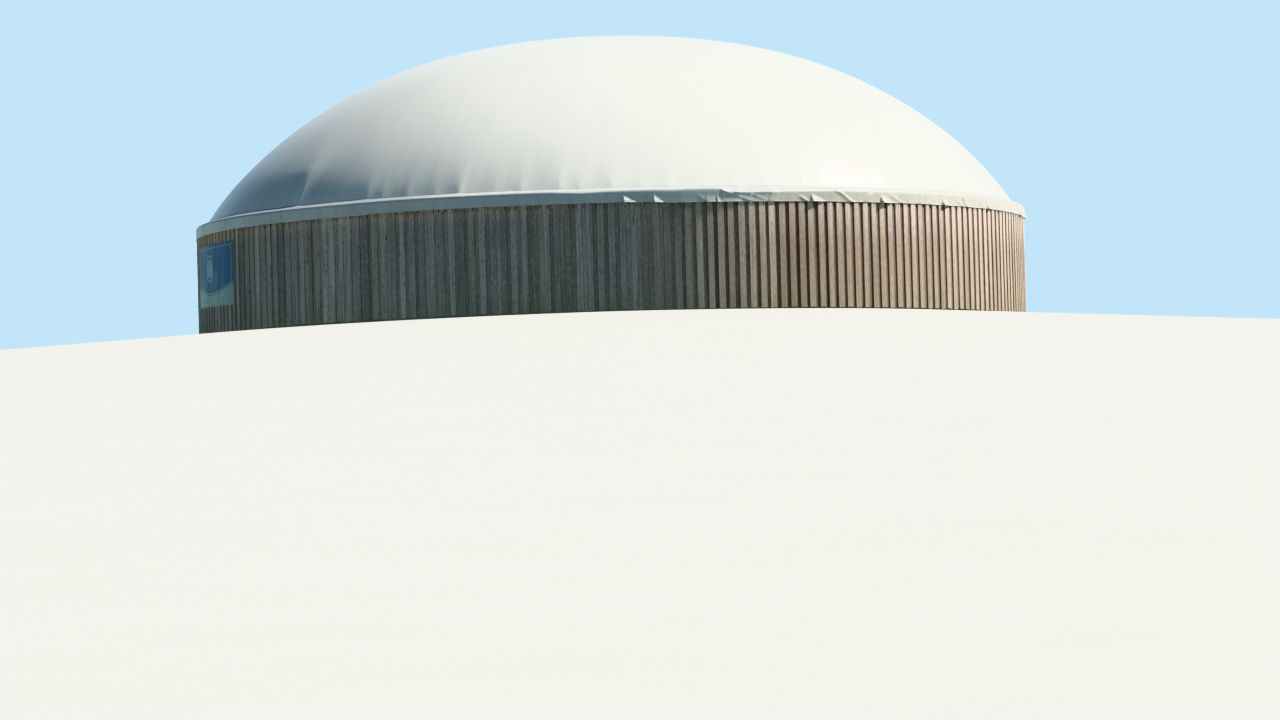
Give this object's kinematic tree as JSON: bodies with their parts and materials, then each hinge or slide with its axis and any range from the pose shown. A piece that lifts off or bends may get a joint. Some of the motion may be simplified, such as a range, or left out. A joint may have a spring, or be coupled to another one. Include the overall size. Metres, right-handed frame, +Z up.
{
  "type": "round biogas digester tank with a membrane dome",
  "caption": "Low round digester tank in vertical timber boards, under an air-supported membrane dome with a grey weather apron over the rim and a banner on the boards.",
  "frame": {"origin": "middle of the tank floor's underside, at ground level", "axes": "+Z up; -Y the front as pictured; +X to the right seen from the front"},
  "size_m": [22.05, 22.05, 7.785],
  "materials": {
    "concrete": "cast concrete, matt",
    "timber": "sawn softwood boards, weathered grey, matt",
    "dome_membrane": "coated membrane, light grey to white, satin",
    "apron_membrane": "coated membrane, grey, satin",
    "banner_vinyl": "printed coated fabric, deep blue with a pale band, satin",
    "galvanised_steel": "hot-dip galvanised, dull"
  },
  "bodies": {
    "root": {"tank_floor": "concrete", "tank_wall_1": "concrete", "tank_wall_2": "concrete", "tank_wall_3": "concrete", "tank_wall_4": "concrete", "tank_wall_5": "concrete", "tank_wall_6": "concrete", "tank_wall_7": "concrete", "tank_wall_8": "concrete", "timber_cladding_1": "timber", "timber_cladding_2": "timber", "timber_cladding_3": "timber", "timber_cladding_4": "timber", "timber_cladding_5": "timber", "timber_cladding_6": "timber", "timber_cladding_7": "timber", "timber_cladding_8": "timber", "membrane_gore_1": "dome_membrane", "membrane_gore_2": "dome_membrane", "membrane_gore_3": "dome_membrane", "membrane_gore_4": "dome_membrane", "membrane_gore_5": "dome_membrane", "membrane_gore_6": "dome_membrane", "membrane_gore_7": "dome_membrane", "membrane_gore_8": "dome_membrane", "weather_apron_1": "apron_membrane", "weather_apron_2": "apron_membrane", "weather_apron_3": "apron_membrane", "weather_apron_4": "apron_membrane", "weather_apron_5": "apron_membrane", "weather_apron_6": "apron_membrane", "weather_apron_7": "apron_membrane", "weather_apron_8": "apron_membrane", "membrane_crown": "dome_membrane", "wall_banner": "banner_vinyl", "banner_bracket_upper": "galvanised_steel", "banner_bracket_lower": "galvanised_steel"}
  },
  "joints": []
}
